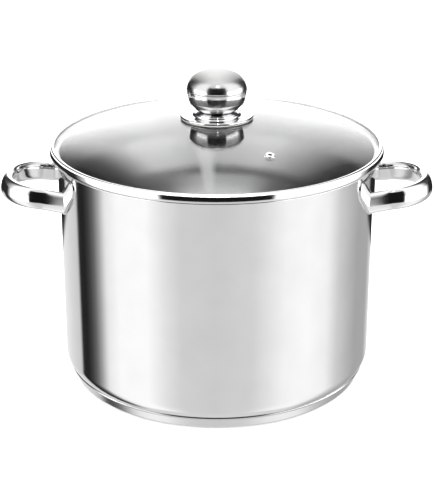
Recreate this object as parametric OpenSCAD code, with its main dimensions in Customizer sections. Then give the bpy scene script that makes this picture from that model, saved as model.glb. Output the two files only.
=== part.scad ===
// Water bath canner: a deep stainless pot with an encapsulated base and two welded
// loop handles, a domed glass lid with a steel knob and a steam vent, and a wire jar
// rack for seven quart jars that lifts out by two folding bails.
// Millimetres. +Z is up, +X is towards the right-hand handle. The origin is the centre
// of the face that the pot stands on.

/* [Pot] */
// Outer diameter of the straight wall
body_d = 320; // [318:1:324]
// Height of the lip above the surface that the pot stands on
pot_h = 239; // [230:1:250]
// Sheet thickness of the pot
wall_t = 0.8; // [0.7:0.1:1.0]
// Outer radius between the wall and the bottom
corner_r = 20; // [18:1:22]
// How far the flat lip stands out from the wall
lip_w = 7.8; // [7:0.2:8.4]

/* [Base] */
// Thickness of the aluminium core under the bottom
core_t = 4.8; // [4:0.2:6]
// Sheet thickness of the steel cap around the core
cap_t = 0.8; // [0.6:0.1:0.8]
// Diameter of the base across its lower edge
base_d = 304; // [300:1:306]

/* [Side handles] */
// Distance between the two legs of a loop, centre to centre
handle_span = 89; // [86:1:96]
// How far a loop stands out from the wall
handle_reach = 60.5; // [56:0.5:66]
// Height of the tube's section
handle_h = 22; // [18:1:24]
// Thickness of the tube's section
handle_t = 12; // [10:1:13]
// Centre-line radius of the loop's two corners
handle_bend = 40; // [28:1:42]
// Distance from the lip down to the middle of the loop at the wall
handle_drop = 40.5; // [38:0.5:46]
// How far the loop is tipped up, in degrees
handle_tip = 6; // [0:1:8]
// Sheet thickness of the weld plate
plate_t = 1.6; // [1.2:0.2:2]
// Width of the weld plate at its upper edge
plate_w = 168; // [156:2:170]

/* [Lid] */
// Outer diameter of the steel rim
rim_d = 338; // [337:1:340]
// Height of the steel rim
rim_h = 8.8; // [8.6:0.2:9.4]
// Glass thickness
glass_t = 4; // [3.5:0.5:4]
// Height of the top of the dome above the pot's lip
dome_h = 34.5; // [33:0.5:36]
// Distance of the steam vent from the lid's axis
vent_r = 107; // [85:1:110]
// Direction of the steam vent, counted from the right-hand handle
vent_dir = -62; // [-80:1:-40]

/* [Knob] */
// Radius of the knob's ball at the seam
knob_r = 30; // [28:0.5:32]
// Height of the ball's seam above the top of the glass
seam_h = 28; // [27.5:0.5:30]
// Height of the cap above the seam
cap_h = 19; // [18:1:22]
// Radius of the round flange under the knob
flange_r = 37.2; // [36:0.2:39]

/* [Jar rack] */
// Diameter of the largest jar that the rack takes
jar_d = 97; // [92:1:98]
// Height of the dividers above the rack's grid
divider_h = 60; // [50:1:66]
// Length of a bail from its hinge to its grip
bail_len = 100; // [96:1:101]
// Width of a bail between its legs, centre to centre
bail_w = 50; // [44:1:52]

/* [Hidden] */
$fn = 96;

polished = [0.80, 0.80, 0.81];
satin = [0.70, 0.70, 0.70];
wire_steel = [0.74, 0.75, 0.77];
aluminium = [0.62, 0.63, 0.64];
clear_glass = [0.82, 0.88, 0.88, 0.35];
silicone = [0.86, 0.86, 0.84];

// Pot
body_r = body_d / 2;
base_top = cap_t + core_t;          // underside of the pot's own bottom
floor_z = base_top + wall_t;        // inside floor
corner_c = [body_r - corner_r, base_top + corner_r];
lip_bend = 3;                       // radius between the wall and the lip
lip_c = [body_r + lip_bend, pot_h - wall_t - lip_bend];

// Base cap
base_fillet = 3;
cap_gap = 0.15;                     // room for the solder under the cap's edge
cap_wrap = corner_r + cap_gap + cap_t;

// Side handles
handle_z = pot_h - handle_drop;
handle_wall = 1.2;
handle_x = body_r + handle_reach - handle_t / 2;
handle_edge = 4.5;                  // radius of the section's corners
plate_below = 12.5;                 // weld plate below the middle of the loop
plate_above = 29.5;                 // weld plate above it
plate_low = handle_z - plate_below;
plate_top = handle_z + plate_above;
plate_foot = 50;                    // half the straight lower edge
plate_bend = 12;                    // radius of the plate's lower corners
plate_top_bend = 6;
leg_sink = 30;                      // how far a leg starts inside the wall before it is trimmed
trim_h = 100;                       // height of the cylinder that trims the legs
plate_sink = 60;                    // how far inside the wall a plate's blank starts
plate_blank = 100;                  // depth of that blank

// Lid
rim_t = 0.7;
rim_r = rim_d / 2;
lid_gap = 0.3;                      // clearance between the rim and the lip
rim_z = pot_h + lid_gap;
rim_roll = 2;                       // radius of the rim's rolled edges
rim_leaf = 4.6;                     // how far the rim laps over the glass
spigot_gap = 0.8;                   // clearance of the locating flange in the mouth
spigot_r = body_r - wall_t - spigot_gap;
spigot_h = 5;
glass_inset = 2.7;                  // the glass's edge inside the rim, and below its top
glass_r = rim_r - glass_inset;
glass_top = pot_h + dome_h;
glass_edge_z = rim_z + rim_h - glass_inset;
dome_sag = glass_top - glass_edge_z;
dome_r = (glass_r * glass_r + dome_sag * dome_sag) / (2 * dome_sag);
dome_c = glass_top - dome_r;
vent_tilt = asin(vent_r / dome_r);

// Steam vent, in its own frame on the outer face of the glass
eyelet_bore = 2.1;
eyelet_tube = 2.9;
eyelet_head = 4.7;
eyelet_fit = 0.05;                  // clearance between vent parts
eyelet_tail = 1.3;                  // how far the eyelet reaches below the glass
eyelet_round = 0.8;
vent_washer_t = 0.6;
glass_hole = 4;                     // radius of the hole in the middle of the glass
through = 5;                        // how far a cutter reaches past what it cuts

// Knob
knob_t = 0.8;
screw_r = 3;
screw_hole = 3.3;
seam_z = glass_top + seam_h;
neck_h = 5.5;                       // height of the neck above the top of the glass
neck_z = glass_top + neck_h;
neck_r = 15.8;
collar_r = 24.4;                    // round collar in the middle of the flange
seal_r = flange_r - 3.6;            // inner radius of the seal under the flange
flange_low = glass_top - flange_r * flange_r / (2 * dome_r) + 0.9;
under_z = glass_top - glass_t;
bush_t = 1.5;
washer_t = 1.2;
lock_t = 1.4;
head_h = 3.4;
head_r = 5.8;
insert_r = 6;                       // across the corners of the hexagonal insert
insert_h = 13;
screw_reach = 12;                   // how far the screw goes up past the neck
bush_r = 10.5;
bush_sleeve_r = 3.95;
washer_r = 9;
lock_r = 5.2;
seam_roll = 0.9;                    // radius of the rolled seam
seam_roll_z = seam_z + 0.35;

// Jar rack
wire_r = 1.6;
ring_wire_r = 2;
weld = 0.3;                         // how far crossing wires sink into each other
rack_gap = 0.3;                     // clearance under the feet
jar_pitch = jar_d + 4;
center_ring_r = jar_d / 2 + 0.8 + wire_r;
post_in = center_ring_r + 2 * wire_r - weld;
top_ring_r = jar_pitch + jar_d / 2 + 1 + ring_wire_r;
post_out = top_ring_r - ring_wire_r - wire_r + weld;
foot_bend = 6;                      // centre-line radius of a foot
foot_r = 128;                       // distance of the feet from the axis
foot_h = 12;                        // height of the spokes above the feet's lowest point
spoke_z = floor_z + rack_gap + foot_h;
grid_z = spoke_z + 2 * wire_r - weld;
divider_z = grid_z + divider_h;
divider_bend = 9;
ring_drop = 12;                     // the two upper rings below the dividers' tops
top_ring_z = divider_z - ring_drop;
center_ring_z = divider_z - ring_drop;
inner_ring_r = 22;                  // smallest ring of the floor
spoke_from = 20;                    // where the spokes start, counted from the axis
hinge_x = top_ring_r - 1.5;
hinge_z = top_ring_z + ring_wire_r + 5;
hinge_fit = 0.06;                   // radial clearance of a bail's eye on its bar
eye_r = 4;
eye_w = 5;
bar_end = 8;                        // hinge bar beyond a bail's leg
bar_half = bail_w / 2 + bar_end;
bail_bend = 14;
bail_grip_x = hinge_x - bail_len;
bail_rest = asin((hinge_z - center_ring_z - wire_r - ring_wire_r - 0.3) / (hinge_x - center_ring_r));
divider_dirs = [for (i = [0:5]) 30 + 60 * i];

// Points on an arc from angle a0 to angle a1
function arc(c, r, a0, a1, n = 10) =
    [for (i = [0:n]) let (a = a0 + (a1 - a0) * i / n) [c[0] + r * cos(a), c[1] + r * sin(a)]];

// Points on a cubic curve with the four given control points
function curve(p, n = 14) =
    [for (i = [0:n]) let (t = i / n, s = 1 - t)
        s * s * s * p[0] + 3 * s * s * t * p[1] + 3 * s * t * t * p[2] + t * t * t * p[3]];

function unit(v) = v / norm(v);
function left_of(v) = [-v[1], v[0]];
function reversed(p) = [for (i = [len(p) - 1:-1:0]) p[i]];

// The same path moved t to its left, with mitred corners
function moved_left(p, t) =
    [for (i = [0:len(p) - 1])
        let (
            before = left_of(unit(i > 0 ? p[i] - p[i - 1] : p[1] - p[0])),
            after = left_of(unit(i < len(p) - 1 ? p[i + 1] - p[i] : p[i] - p[i - 1])),
            mid = unit(before + after)
        )
        p[i] + mid * t / (mid * before)];

// A sheet of thickness t on the left of a path, turned about the Z axis
module spun_sheet(path, t) {
    other_face = [for (q = moved_left(path, t)) [max(q[0], 0), q[1]]];
    rotate_extrude(convexity = 8) polygon(concat(path, reversed(other_face)));
}

module ring_wire(r, wire) {
    rotate_extrude(convexity = 4) translate([r, 0]) circle(r = wire, $fn = 24);
}

module washer(outer, inner, t) {
    difference() {
        cylinder(r = outer, h = t);
        translate([0, 0, -1]) cylinder(r = inner, h = t + 2);
    }
}

// A round bar from one point to another
module bar(from, to, r) {
    v = to - from;
    translate(from)
        rotate([0, acos(v[2] / norm(v)), atan2(v[1], v[0])])
            cylinder(r = r, h = norm(v), $fn = 24);
}

module at_vent() {
    translate([0, 0, dome_c])
        rotate([0, vent_tilt, vent_dir])
            translate([0, 0, dome_r])
                children();
}

// ---- Pot ----

module pot_body() {
    outside = concat(
        [[0, base_top]],
        arc(corner_c, corner_r, -90, 0),
        arc(lip_c, lip_bend, 180, 90),
        [[body_r + lip_w, pot_h - wall_t]]
    );
    color(polished) spun_sheet(outside, wall_t);
}

module base_core() {
    color(aluminium) translate([0, 0, cap_t]) cylinder(r = body_r - corner_r + 2, h = core_t);
}

module base_cap() {
    fillet_c = [base_d / 2 - base_fillet, base_fillet];
    outside = concat(
        [[0, 0]],
        arc(fillet_c, base_fillet, -90, -25, 5),
        arc(corner_c, cap_wrap, -48, -38, 3)
    );
    color(polished) spun_sheet(outside, cap_t);
}

// Section of the tube: an upright rectangle with rounded corners
module handle_section(shrink) {
    a = handle_t / 2 - shrink;
    b = handle_h / 2 - shrink;
    r = handle_edge - shrink;
    for (x = [-1, 1], y = [-1, 1]) translate([x * (a - r), y * (b - r)]) circle(r = r, $fn = 48);
    square([2 * a, 2 * (b - r)], center = true);
    square([2 * (a - r), 2 * b], center = true);
}

// A level loop, shrunk all round to make its inside
module handle_tube(shrink) {
    leg_from = body_r - leg_sink;
    leg_to = handle_x - handle_bend;
    half = handle_span / 2;
    for (side = [-1, 1]) {
        translate([leg_from, side * half, 0])
            rotate([90, 0, 90])
                linear_extrude(leg_to - leg_from) handle_section(shrink);
        translate([leg_to, side * (half - handle_bend), 0])
            mirror([0, side < 0 ? 1 : 0, 0])
                rotate_extrude(angle = 90) translate([handle_bend, 0]) handle_section(shrink);
    }
    translate([handle_x, half - handle_bend, 0])
        rotate([90, 0, 0])
            linear_extrude(2 * (half - handle_bend)) handle_section(shrink);
}

module side_handle() {
    color(polished) translate([0, 0, handle_z])
        difference() {
            translate([body_r, 0, 0]) rotate([0, -handle_tip, 0]) translate([-body_r, 0, 0])
                difference() {
                    handle_tube(0);
                    handle_tube(handle_wall);
                }
            cylinder(r = body_r + plate_t, h = trim_h, center = true, $fn = 180);
        }
}

// Outline of a weld plate seen from the side: wide at the top, with slanting lower corners
function plate_half() = concat(
    arc([plate_foot, plate_low + plate_bend], plate_bend, -90, -45, 6),
    arc([plate_w / 2 - plate_bend, plate_low + plate_w / 2 - plate_foot], plate_bend, -45, 0, 6),
    arc([plate_w / 2 - plate_top_bend, plate_top - plate_top_bend], plate_top_bend, 0, 90, 6)
);

module handle_plate() {
    color(polished) intersection() {
        difference() {
            cylinder(r = body_r + plate_t, h = pot_h, $fn = 180);
            translate([0, 0, -1]) cylinder(r = body_r, h = pot_h + 2, $fn = 180);
        }
        translate([body_r - plate_sink, 0, 0])
            rotate([90, 0, 90])
                linear_extrude(plate_blank)
                    polygon(concat(plate_half(), reversed([for (q = plate_half()) [-q[0], q[1]]])));
    }
}

// ---- Lid ----

module glass_section() {
    intersection() {
        difference() {
            translate([0, dome_c]) circle(r = dome_r, $fn = 720);
            translate([0, dome_c]) circle(r = dome_r - glass_t, $fn = 720);
        }
        translate([0, pot_h]) square([glass_r, dome_h + through]);
    }
}

module lid_glass() {
    color(clear_glass) difference() {
        rotate_extrude(convexity = 4) glass_section();
        translate([0, 0, under_z - through]) cylinder(r = glass_hole, h = glass_t + 2 * through);
        at_vent() translate([0, 0, -glass_t - through])
            cylinder(r = eyelet_tube + eyelet_fit, h = glass_t + 2 * through);
    }
}

// The rim's outer face, from the edge of its top leaf to the foot of its locating flange
rim_top_c = [rim_r - rim_roll, rim_z + rim_h - rim_roll];
rim_low_c = [rim_r - rim_roll, rim_z + rim_roll];
rim_step_c = [spigot_r + rim_roll, rim_z - rim_roll];
rim_face = concat(
    [[rim_r - rim_leaf, rim_z + rim_h - 0.5]],
    arc(rim_top_c, rim_roll, 90, 0, 6),
    arc(rim_low_c, rim_roll, 0, -90, 6),
    arc(rim_step_c, rim_roll, 90, 180, 5),
    [[spigot_r, rim_z - spigot_h]]
);

module lid_rim() {
    color(polished) spun_sheet(rim_face, -rim_t);
}

// Heat-proof silicone that beds the edge of the glass in the rim
module lid_rim_liner() {
    inside = moved_left(rim_face, -rim_t);
    last = 14;                      // end of the lower rolled edge on the path
    bed = concat([for (i = [0:last]) inside[i]], [[rim_r - rim_leaf, inside[last][1]]]);
    color(silicone) rotate_extrude(convexity = 4) difference() {
        polygon(bed);
        glass_section();
    }
}

module vent_eyelet() {
    bottom = -glass_t - eyelet_tail;
    color(polished) at_vent() rotate_extrude()
        polygon(concat(
            [[eyelet_bore, 0.9], [eyelet_bore, bottom],
             [eyelet_tube + 1, bottom], [eyelet_tube + 1, bottom + 0.5],
             [eyelet_tube, bottom + 0.5], [eyelet_tube, eyelet_fit], [eyelet_head, eyelet_fit]],
            arc([eyelet_head - eyelet_round, eyelet_fit], eyelet_round, 0, 90, 5)
        ));
}

module vent_washer() {
    color(satin) at_vent() translate([0, 0, -glass_t - 0.75])
        washer(eyelet_head + 0.3, eyelet_tube + eyelet_fit, vent_washer_t);
}

// ---- Knob ----

module knob_cap() {
    dome = curve([[knob_r + 0.2, seam_z + 0.6], [knob_r + 0.2, seam_z + cap_h / 2],
                  [knob_r * 0.73, seam_z + cap_h], [0, seam_z + cap_h]]);
    color(polished) union() {
        spun_sheet(dome, knob_t);
        translate([0, 0, seam_roll_z]) ring_wire(knob_r - 0.1, seam_roll);
    }
}

module knob_cup() {
    bowl = curve([[neck_r, neck_z + 0.1], [knob_r * 0.8, neck_z + 7.5],
                  [knob_r, neck_z + 14], [knob_r, seam_z - 0.7]]);
    color(polished) spun_sheet(concat([[screw_hole, neck_z + 0.1]], bowl), knob_t);
}

module knob_flange() {
    edge_r = 1.3;
    top = concat(
        [[screw_hole, neck_z]],
        curve([[neck_r + 1, neck_z], [collar_r - 1, neck_z], [collar_r, neck_z - 2],
               [collar_r, flange_low + 2.8]], 8),
        [[collar_r + 2, flange_low + 1.8]],
        arc([flange_r - edge_r, flange_low + edge_r], edge_r, 90, -60, 8)
    );
    color(polished) spun_sheet(top, -knob_t);
}

module knob_insert() {
    color(satin) translate([0, 0, neck_z + 0.1 + knob_t])
        difference() {
            cylinder(r = insert_r, h = insert_h, $fn = 6);
            translate([0, 0, -1]) cylinder(r = screw_r + 0.05, h = insert_h + 2);
        }
}

module knob_screw() {
    head_z = under_z - bush_t - washer_t - lock_t - head_h;
    tip_z = neck_z + screw_reach;
    color(satin) difference() {
        union() {
            translate([0, 0, head_z + 1]) cylinder(r = head_r, h = head_h - 1);
            translate([0, 0, head_z]) cylinder(r1 = head_r - 1, r2 = head_r, h = 1);
            translate([0, 0, head_z]) cylinder(r = screw_r, h = tip_z - head_z);
        }
        // cross recess
        for (turn = [0, 90])
            rotate([0, 0, turn]) translate([-3, -0.6, head_z - 1]) cube([6, 1.2, 2.8]);
    }
}

module knob_lock_washer() {
    color(satin) translate([0, 0, under_z - bush_t - washer_t - lock_t])
        difference() {
            washer(lock_r, screw_r + 0.15, lock_t);
            // split
            translate([0, -0.6, -1]) cube([lock_r + 2, 1.2, lock_t + 2]);
        }
}

module knob_washer() {
    color(satin) translate([0, 0, under_z - bush_t - washer_t]) washer(washer_r, screw_r + 0.2, washer_t);
}

// Silicone bush that keeps the screw and its washer off the glass
module knob_bush() {
    color(silicone) difference() {
        union() {
            translate([0, 0, under_z - bush_t]) cylinder(r = bush_r, h = bush_t - 0.15);
            translate([0, 0, under_z - bush_t]) cylinder(r = bush_sleeve_r, h = bush_t + glass_t);
        }
        translate([0, 0, under_z - 2 * through]) cylinder(r = screw_r + 0.1, h = 4 * through);
    }
}

// Silicone ring between the flange and the glass
module knob_seal_ring() {
    glass_z = glass_top - seal_r * seal_r / (2 * dome_r);
    color(silicone) translate([0, 0, glass_z])
        washer(flange_r - 1, seal_r, flange_low - glass_z);
}

// ---- Jar rack ----

module rack_grid_rings() {
    step = (post_out - post_in) / 3;
    color(wire_steel) translate([0, 0, grid_z]) {
        ring_wire(inner_ring_r, wire_r);
        for (i = [0:2]) ring_wire(post_in + step * i, wire_r);
        ring_wire(post_out, ring_wire_r);
    }
}

module rack_grid_spokes() {
    color(wire_steel) for (dir = divider_dirs)
        rotate([0, 0, dir]) bar([spoke_from, 0, spoke_z], [post_out + 1, 0, spoke_z], wire_r);
}

// Six feet, each a short U of wire under a spoke
module rack_feet() {
    top = spoke_z - wire_r + weld;
    low = floor_z + rack_gap + ring_wire_r + foot_bend;
    color(wire_steel) for (dir = divider_dirs)
        rotate([0, 0, dir]) {
            translate([foot_r, 0, low]) rotate([-90, 0, 0])
                rotate_extrude(angle = 180) translate([foot_bend, 0]) circle(r = ring_wire_r, $fn = 24);
            for (side = [-1, 1])
                bar([foot_r + side * foot_bend, 0, low], [foot_r + side * foot_bend, 0, top], ring_wire_r);
        }
}

// Wire loop i of six that stand between neighbouring jars
module rack_divider(i) {
    foot_z = grid_z + wire_r - weld;
    shoulder = divider_z - divider_bend;
    color(wire_steel) rotate([0, 0, divider_dirs[i - 1]]) {
        bar([post_in, 0, foot_z], [post_in, 0, shoulder], wire_r);
        bar([post_out, 0, foot_z + 0.4], [post_out, 0, shoulder], wire_r);
        bar([post_in + divider_bend, 0, divider_z], [post_out - divider_bend, 0, divider_z], wire_r);
        translate([post_out - divider_bend, 0, shoulder]) divider_corner();
        translate([post_in + divider_bend, 0, shoulder]) mirror([1, 0, 0]) divider_corner();
    }
}

module divider_corner() {
    rotate([90, 0, 0])
        rotate_extrude(angle = 90) translate([divider_bend, 0]) circle(r = wire_r, $fn = 24);
}

module rack_center_ring() {
    color(wire_steel) translate([0, 0, center_ring_z]) ring_wire(center_ring_r, wire_r);
}

module rack_top_ring() {
    color(wire_steel) translate([0, 0, top_ring_z]) ring_wire(top_ring_r, ring_wire_r);
}

// A staple on the top ring that a bail turns on
module rack_hinge_bar() {
    color(wire_steel) {
        bar([hinge_x, -bar_half, hinge_z], [hinge_x, bar_half, hinge_z], ring_wire_r);
        for (side = [-1, 1])
            bar([hinge_x, side * (bar_half - ring_wire_r), hinge_z],
                [hinge_x - 2, side * (bar_half - ring_wire_r), top_ring_z + ring_wire_r - weld], ring_wire_r);
    }
}

// A folding bail, drawn level and then laid down on the centre ring
module rack_bail() {
    half = bail_w / 2;
    corner_x = bail_grip_x + bail_bend;
    color(wire_steel)
        translate([hinge_x, 0, hinge_z]) rotate([0, -bail_rest, 0]) translate([-hinge_x, 0, -hinge_z])
            difference() {
                union() {
                    for (side = [-1, 1]) {
                        translate([hinge_x, side * half - eye_w / 2, hinge_z])
                            rotate([-90, 0, 0]) cylinder(r = eye_r, h = eye_w);
                        bar([hinge_x - 3, side * half, hinge_z], [corner_x, side * half, hinge_z], ring_wire_r);
                        translate([corner_x, side * (half - bail_bend), hinge_z])
                            mirror([0, side < 0 ? 1 : 0, 0]) rotate([0, 0, 90])
                                rotate_extrude(angle = 90) translate([bail_bend, 0])
                                    circle(r = ring_wire_r, $fn = 24);
                    }
                    bar([bail_grip_x, -(half - bail_bend), hinge_z],
                        [bail_grip_x, half - bail_bend, hinge_z], ring_wire_r);
                }
                translate([hinge_x, -half - 2 * through, hinge_z])
                    rotate([-90, 0, 0]) cylinder(r = ring_wire_r + hinge_fit, h = 2 * half + 4 * through);
            }
}

module left_hand() {
    mirror([1, 0, 0]) children();
}

pot_body();
base_core();
base_cap();
left_hand() handle_plate();  // handle_plate_left
handle_plate();  // handle_plate_right
left_hand() side_handle();  // side_handle_left
side_handle();  // side_handle_right
lid_glass();
lid_rim();
lid_rim_liner();
vent_eyelet();
vent_washer();
knob_cap();
knob_cup();
knob_flange();
knob_insert();
knob_screw();
knob_lock_washer();
knob_washer();
knob_bush();
knob_seal_ring();
rack_grid_rings();
rack_grid_spokes();
rack_feet();
for (i = [1:6])
    rack_divider(i);
rack_center_ring();
rack_top_ring();
left_hand() rack_hinge_bar();  // rack_hinge_bar_left
rack_hinge_bar();  // rack_hinge_bar_right
left_hand() rack_bail();  // rack_bail_left
rack_bail();  // rack_bail_right
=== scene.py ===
"""Water bath canner: a steel pot with a glass lid and a wire jar rack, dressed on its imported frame.

Lengths in the making functions are millimetres, as in the part's source, and meshes are
scaled to metres when they are made. +Z is up, and the camera stands on the -Y side.
"""
import math

import bmesh
import bpy
from mathutils import Matrix, Vector


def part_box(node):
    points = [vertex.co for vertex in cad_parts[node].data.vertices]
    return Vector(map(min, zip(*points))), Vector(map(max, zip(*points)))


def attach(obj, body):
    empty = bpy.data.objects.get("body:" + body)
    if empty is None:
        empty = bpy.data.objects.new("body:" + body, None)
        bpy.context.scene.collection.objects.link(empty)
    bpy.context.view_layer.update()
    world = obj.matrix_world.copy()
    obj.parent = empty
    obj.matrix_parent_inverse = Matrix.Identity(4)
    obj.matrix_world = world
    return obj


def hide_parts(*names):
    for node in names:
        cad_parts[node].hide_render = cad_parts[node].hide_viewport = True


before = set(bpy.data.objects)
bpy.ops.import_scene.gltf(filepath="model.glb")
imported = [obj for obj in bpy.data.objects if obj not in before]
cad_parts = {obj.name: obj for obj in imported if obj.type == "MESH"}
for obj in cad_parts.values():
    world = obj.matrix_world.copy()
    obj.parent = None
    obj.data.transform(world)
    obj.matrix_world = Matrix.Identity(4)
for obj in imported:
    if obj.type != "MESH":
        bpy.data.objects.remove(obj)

MM = 0.001
scene = bpy.context.scene
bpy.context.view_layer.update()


# ---------------------------------------------------------------- outlines

def box_mm(node):
    """A CAD node's lowest and highest corners, in millimetres."""
    low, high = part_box(node)
    return Vector(low) / MM, Vector(high) / MM


def arc(centre, radius, start, end, steps=12):
    """Points on an arc, its angles in degrees."""
    angles = [math.radians(start + (end - start) * i / steps) for i in range(steps + 1)]
    return [(centre[0] + radius * math.cos(a), centre[1] + radius * math.sin(a)) for a in angles]


def curve(a, b, c, d, steps=28):
    """Points on a cubic curve with four control points."""
    points = []
    for i in range(steps + 1):
        t = i / steps
        s = 1 - t
        weights = (s ** 3, 3 * s * s * t, 3 * s * t * t, t ** 3)
        points.append(tuple(sum(w * p[k] for w, p in zip(weights, (a, b, c, d))) for k in (0, 1)))
    return points


def tidy_path(points, least=0.02):
    """The path without points that lie closer together than least."""
    kept = [points[0]]
    for p in points[1:]:
        if math.dist(p, kept[-1]) > least:
            kept.append(p)
    return kept


def moved_right(points, distance):
    """The same path moved to its right, with mitred corners."""
    moved = []
    for i, p in enumerate(points):
        before = Vector(p) - Vector(points[i - 1]) if i else Vector(points[1]) - Vector(p)
        after = Vector(points[i + 1]) - Vector(p) if i < len(points) - 1 else before
        n1 = Vector((before.y, -before.x)).normalized()
        n2 = Vector((after.y, -after.x)).normalized()
        mid = (n1 + n2).normalized()
        q = Vector(p) + mid * distance / max(mid.dot(n1), 0.4)
        moved.append((max(q.x, 0.0), q.y))
    return moved


def supported(points, gap=0.25, longest=12.0):
    """The path with extra points beside its bends and along its straights, so that it shades evenly."""
    full = [points[0]]
    for a, b in zip(points, points[1:]):
        length = math.dist(a, b)
        cuts = []
        if length > 4 * gap:
            inner = length - 2 * gap
            count = max(1, math.ceil(inner / longest))
            cuts = [gap + inner * k / count for k in range(count + 1)]
        for c in cuts:
            full.append((a[0] + (b[0] - a[0]) * c / length, a[1] + (b[1] - a[1]) * c / length))
        full.append(b)
    return full


def sheet_outline(outside, thickness):
    """A closed outline: the outside path, and its copy one sheet thickness to the right."""
    outside = tidy_path(outside)
    inside = tidy_path(moved_right(outside, thickness))
    return supported(outside + inside[::-1] + [outside[0]])[:-1]


# ---------------------------------------------------------------- meshes

def finish_mesh(name, bm, sharp=35.0):
    """Turns a bmesh in millimetres into a smooth-shaded object in metres."""
    bmesh.ops.remove_doubles(bm, verts=bm.verts, dist=0.0005)
    bmesh.ops.scale(bm, vec=(MM, MM, MM), verts=bm.verts)
    bmesh.ops.recalc_face_normals(bm, faces=bm.faces)
    mesh = bpy.data.meshes.new(name)
    bm.to_mesh(mesh)
    bm.free()
    mesh.shade_smooth()
    mesh.set_sharp_from_angle(angle=math.radians(sharp))
    obj = bpy.data.objects.new(name, mesh)
    scene.collection.objects.link(obj)
    return obj


def lathe(bm, outline, segments=256, place=None):
    """Turns a closed (radius, height) outline about the Z axis."""
    rings = []
    for r, z in outline:
        if r < 1e-4:
            rings.append([bm.verts.new((0, 0, z))])
            continue
        angles = (2 * math.pi * k / segments for k in range(segments))
        rings.append([bm.verts.new((r * math.cos(a), r * math.sin(a), z)) for a in angles])
    made = [v for ring in rings for v in ring]
    for one, two in zip(rings, rings[1:] + rings[:1]):
        for k in range(segments):
            n = (k + 1) % segments
            corners = [one[k % len(one)], one[n % len(one)], two[n % len(two)], two[k % len(two)]]
            corners = list(dict.fromkeys(corners))
            if len(corners) > 2:
                bm.faces.new(corners)
    if place is not None:
        bmesh.ops.transform(bm, matrix=place, verts=made)
    return made


def lathed(name, outline, segments=256, place=None, sharp=35.0):
    """An object that is one turned outline."""
    bm = bmesh.new()
    lathe(bm, outline, segments, place)
    return finish_mesh(name, bm, sharp)


def sweep(bm, path, flat_normal, section, closed=False):
    """Sweeps a closed 2-D section along a flat path; the section's x is across the path in its plane
    and its y is along the plane's normal."""
    flat_normal = Vector(flat_normal).normalized()
    path = [Vector(p) for p in path]
    rings = []
    count = len(path)
    for i, p in enumerate(path):
        ahead = path[(i + 1) % count] if closed or i < count - 1 else p
        behind = path[i - 1] if closed or i else p
        across = (ahead - behind).normalized().cross(flat_normal)
        shape = section(i, count) if callable(section) else section
        rings.append([bm.verts.new(p + across * x + flat_normal * y) for x, y in shape])
    pairs = list(zip(rings, rings[1:])) + ([(rings[-1], rings[0])] if closed else [])
    for one, two in pairs:
        for k in range(len(one)):
            n = (k + 1) % len(one)
            bm.faces.new((one[k], one[n], two[n], two[k]))
    if not closed:
        for ring in (rings[0], rings[-1]):
            cap(bm, ring)
    return rings


def cap(bm, ring):
    """Closes a ring of vertices with a fan round its middle."""
    middle = bm.verts.new(sum((v.co for v in ring), Vector()) / len(ring))
    for k in range(len(ring)):
        bm.faces.new((ring[k], ring[(k + 1) % len(ring)], middle))


def round_section(radius, sides=20):
    """The points of a circle about the origin."""
    return [(radius * math.cos(2 * math.pi * k / sides), radius * math.sin(2 * math.pi * k / sides))
            for k in range(sides)]


def wire(bm, path, flat_normal, radius, closed=False):
    """A round wire along a flat path, its open ends slightly rounded."""
    if closed:
        sweep(bm, path, flat_normal, round_section(radius), True)
        return
    path = [Vector(p) for p in path]
    start = (path[1] - path[0]).normalized()
    end = (path[-1] - path[-2]).normalized()
    nose = 0.35 * radius
    path = [path[0], path[0] + start * nose] + path[1:-1] + [path[-1] - end * nose, path[-1]]

    def section(i, count):
        return round_section(radius * (0.72 if i in (0, count - 1) else 1.0))

    sweep(bm, path, flat_normal, section)


def circle_path(radius, height, steps=192):
    """A level circle about the Z axis."""
    return [(radius * math.cos(2 * math.pi * k / steps), radius * math.sin(2 * math.pi * k / steps), height)
            for k in range(steps)]


def mirror_left(bm, side):
    """Turns a right-hand mesh into the left-hand one where side is -1."""
    if side < 0:
        bmesh.ops.scale(bm, vec=(-1, 1, 1), verts=bm.verts)


def dressed(obj, body, slot, *nodes):
    """Gives a piece its body, its slot and the slot's material, and lets it stand for its CAD nodes."""
    obj.data.materials.append(MATERIALS[slot])
    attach(obj, body)
    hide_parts(*nodes)
    return obj


# ---------------------------------------------------------------- materials

def new_material(name, base, metallic, roughness):
    """A material with a Principled shader; its constant values are set on the shader itself."""
    material = bpy.data.materials.new(name)
    material.use_nodes = True
    shader = material.node_tree.nodes["Principled BSDF"]
    shader.inputs["Base Color"].default_value = (*base, 1)
    shader.inputs["Metallic"].default_value = metallic
    shader.inputs["Roughness"].default_value = roughness
    return material, material.node_tree.nodes, material.node_tree.links, shader


def spread(nodes, links, source, low, high):
    """Maps a 0 to 1 value on to a range."""
    ranged = nodes.new("ShaderNodeMapRange")
    ranged.inputs["To Min"].default_value = low
    ranged.inputs["To Max"].default_value = high
    links.new(source, ranged.inputs["Value"])
    return ranged.outputs["Result"]


def smooth_step(nodes, links, source, low, high):
    """0 below low, 1 above high, and smooth between."""
    ranged = nodes.new("ShaderNodeMapRange")
    ranged.interpolation_type = "SMOOTHSTEP"
    ranged.inputs["From Min"].default_value = low
    ranged.inputs["From Max"].default_value = high
    links.new(source, ranged.inputs["Value"])
    return ranged.outputs["Result"]


def calc(nodes, links, operation, one, two=None):
    """One step of arithmetic on numbers or sockets."""
    step = nodes.new("ShaderNodeMath")
    step.operation = operation
    for socket, value in zip(step.inputs, (one, two)):
        if value is None:
            continue
        if isinstance(value, (int, float)):
            socket.default_value = value
        else:
            links.new(value, socket)
    return step.outputs[0]


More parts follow.
